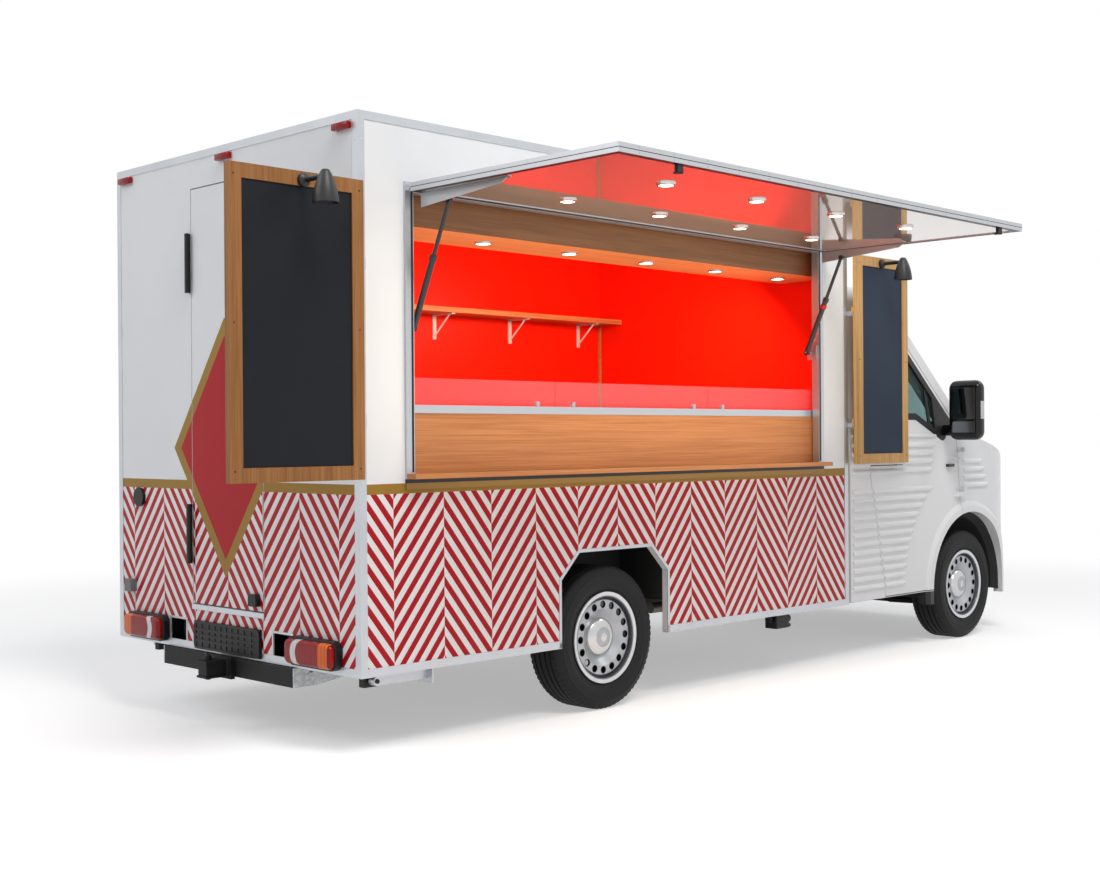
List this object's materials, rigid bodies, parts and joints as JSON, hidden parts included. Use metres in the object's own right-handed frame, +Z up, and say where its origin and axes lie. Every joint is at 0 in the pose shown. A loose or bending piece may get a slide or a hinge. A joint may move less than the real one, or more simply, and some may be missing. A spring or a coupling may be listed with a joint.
{
  "type": "food truck",
  "caption": "Food truck with a walk-in catering box, serving window under a strut-held awning, swing-out menu boards and a ribbed retro van cab.",
  "frame": {"origin": "on the ground on the centre plane, midway between the axles", "axes": "+X forward along the vehicle, +Y to its left, +Z up; the serving window faces -Y"},
  "size_m": [6.5794, 3.489, 2.6829],
  "materials": {
    "tyre": "matt rubber",
    "wheel_steel": "silver paint",
    "chassis_steel": "black chassis paint",
    "tank_plastic": "matt",
    "box_panel": "glossy laminate skin on a sandwich panel",
    "aluminium": "satin anodised",
    "wood": "oiled oak",
    "lamp_glass": "clear lens",
    "lamp_red": "clear red lens",
    "black_metal": "satin black",
    "black_plastic": "grained black",
    "cab_white": "glossy white paint",
    "glass": "clear",
    "seat_fabric": "woven"
  },
  "bodies": {
    "vehicle": {"box_floor": "box_panel", "box_roof": "box_panel", "box_wall_front": "box_panel", "box_wall_left": "box_panel", "box_wall_rear": "box_panel", "box_wall_right": "box_panel", "cab_body": "cab_white", "chassis_frame": "chassis_steel", "counter_guard": "glass", "dashboard": "black_plastic", "edge_profiles": "aluminium", "engine_block": "chassis_steel", "front_subframe": "chassis_steel", "galley_woodwork": "wood", "grille": "black_plastic", "headlamps": "lamp_glass", "nose": "cab_white", "rear_axle": "chassis_steel", "rear_fittings": "black_plastic", "rear_lamps": "lamp_red", "seats": "seat_fabric", "serving_ledge": "wood", "soffit_lamps": "lamp_glass", "tank_and_exhaust": "tank_plastic", "tow_bar": "chassis_steel", "wall_shelf": "wood", "window_frame": "aluminium", "windscreen": "glass", "worktop": "aluminium"},
    "knuckle_left": {"knuckle_left": "chassis_steel"},
    "knuckle_right": {"knuckle_right": "chassis_steel"},
    "wheel_front_left": {"tyre_front_left": "tyre", "rim_front_left": "wheel_steel"},
    "wheel_front_right": {"tyre_front_right": "tyre", "rim_front_right": "wheel_steel"},
    "wheel_rear_left": {"tyre_rear_left": "tyre", "rim_rear_left": "wheel_steel"},
    "wheel_rear_right": {"tyre_rear_right": "tyre", "rim_rear_right": "wheel_steel"},
    "awning": {"awning_panel": "box_panel", "awning_frame": "aluminium", "awning_lamps": "lamp_glass"},
    "strut_barrel_rear": {"strut_barrel_rear": "black_metal"},
    "strut_barrel_front": {"strut_barrel_front": "black_metal"},
    "strut_rod_rear": {"strut_rod_rear": "black_metal"},
    "strut_rod_front": {"strut_rod_front": "black_metal"},
    "rear_door": {"rear_door": "box_panel"},
    "rear_board": {"rear_board": "wood", "rear_board_lamp": "black_metal"},
    "front_board": {"front_board": "wood", "front_board_lamp": "black_metal"},
    "cab_door_left": {"cab_door_left": "cab_white", "cab_door_glass_left": "glass", "mirror_left": "black_plastic"},
    "cab_door_right": {"cab_door_right": "cab_white", "cab_door_glass_right": "glass", "mirror_right": "black_plastic"},
    "bonnet": {"bonnet": "cab_white"},
    "steady_left": {"steady_left": "aluminium"},
    "steady_right": {"steady_right": "aluminium"}
  },
  "joints": [
    {"name": "steer_left", "type": "hinge", "parent": "vehicle", "child": "knuckle_left", "pos_m": [1.725, 0.785, 0.35], "axis": [0, 0, 1], "range_deg": [-35, 35]},
    {"name": "steer_right", "type": "hinge", "parent": "vehicle", "child": "knuckle_right", "pos_m": [1.725, -0.785, 0.35], "axis": [0, 0, 1], "range_deg": [-35, 35]},
    {"name": "spin_front_left", "type": "hinge", "parent": "knuckle_left", "child": "wheel_front_left", "pos_m": [1.725, 0.845, 0.35], "axis": [0, 1, 0], "continuous": true},
    {"name": "spin_front_right", "type": "hinge", "parent": "knuckle_right", "child": "wheel_front_right", "pos_m": [1.725, -0.845, 0.35], "axis": [0, 1, 0], "continuous": true},
    {"name": "spin_rear_left", "type": "hinge", "parent": "vehicle", "child": "wheel_rear_left", "pos_m": [-1.725, 0.845, 0.35], "axis": [0, 1, 0], "continuous": true},
    {"name": "spin_rear_right", "type": "hinge", "parent": "vehicle", "child": "wheel_rear_right", "pos_m": [-1.725, -0.845, 0.35], "axis": [0, 1, 0], "continuous": true},
    {"name": "awning_hinge", "type": "hinge", "parent": "vehicle", "child": "awning", "pos_m": [-1.4775, -1.019, 2.38], "axis": [-1, 0, 0], "range_deg": [-90, 0]},
    {"name": "rear_door_hinge", "type": "hinge", "parent": "vehicle", "child": "rear_door", "pos_m": [-3.275, 0.3, 1.2], "axis": [0, 0, -1], "range_deg": [0, 165]},
    {"name": "rear_board_hinge", "type": "hinge", "parent": "vehicle", "child": "rear_board", "pos_m": [-3.267, -1.015, 1.7], "axis": [0, 0, 1], "range_deg": [-90, 0]},
    {"name": "front_board_hinge", "type": "hinge", "parent": "vehicle", "child": "front_board", "pos_m": [0.327, -1.015, 1.7], "axis": [0, 0, -1], "range_deg": [0, 90]},
    {"name": "cab_door_left_hinge", "type": "hinge", "parent": "vehicle", "child": "cab_door_left", "pos_m": [1.62, 1.011, 1], "axis": [0, 0, -1], "range_deg": [0, 70]},
    {"name": "cab_door_right_hinge", "type": "hinge", "parent": "vehicle", "child": "cab_door_right", "pos_m": [1.62, -1.011, 1], "axis": [0, 0, 1], "range_deg": [0, 70]},
    {"name": "bonnet_hinge", "type": "hinge", "parent": "vehicle", "child": "bonnet", "pos_m": [1.797, 0, 1.332], "axis": [0, -1, 0], "range_deg": [0, 55]},
    {"name": "steady_left_hinge", "type": "hinge", "parent": "vehicle", "child": "steady_left", "pos_m": [-3.105, 0.88, 0.3], "axis": [0, 1, 0], "range_deg": [0, 80]},
    {"name": "steady_right_hinge", "type": "hinge", "parent": "vehicle", "child": "steady_right", "pos_m": [-3.105, -0.88, 0.3], "axis": [0, 1, 0], "range_deg": [0, 80]},
    {"name": "strut_rear_swing", "type": "hinge", "parent": "vehicle", "child": "strut_barrel_rear", "pos_m": [-2.928, -0.944, 1.8], "axis": [-1, 0, 0], "range_deg": [0, 22.28]},
    {"name": "strut_rear_slide", "type": "slide", "parent": "strut_barrel_rear", "child": "strut_rod_rear", "axis": [0, -0.4118, 0.9113], "range_m": [-0.1506, 0]},
    {"name": "strut_front_swing", "type": "hinge", "parent": "vehicle", "child": "strut_barrel_front", "pos_m": [-0.027, -0.944, 1.8], "axis": [-1, 0, 0], "range_deg": [0, 22.28]},
    {"name": "strut_front_slide", "type": "slide", "parent": "strut_barrel_front", "child": "strut_rod_front", "axis": [0, -0.4118, 0.9113], "range_m": [-0.1506, 0]}
  ],
  "couplings": [
    {"joint": "steer_right", "follows": "steer_left", "ratio": 1},
    {"joint": "strut_rear_swing", "follows": "awning_hinge", "ratio": -0.24749},
    {"joint": "strut_rear_slide", "follows": "awning_hinge", "m_per_rad": 0.095727},
    {"joint": "strut_front_swing", "follows": "awning_hinge", "ratio": -0.24749},
    {"joint": "strut_front_slide", "follows": "awning_hinge", "m_per_rad": 0.095727}
  ]
}
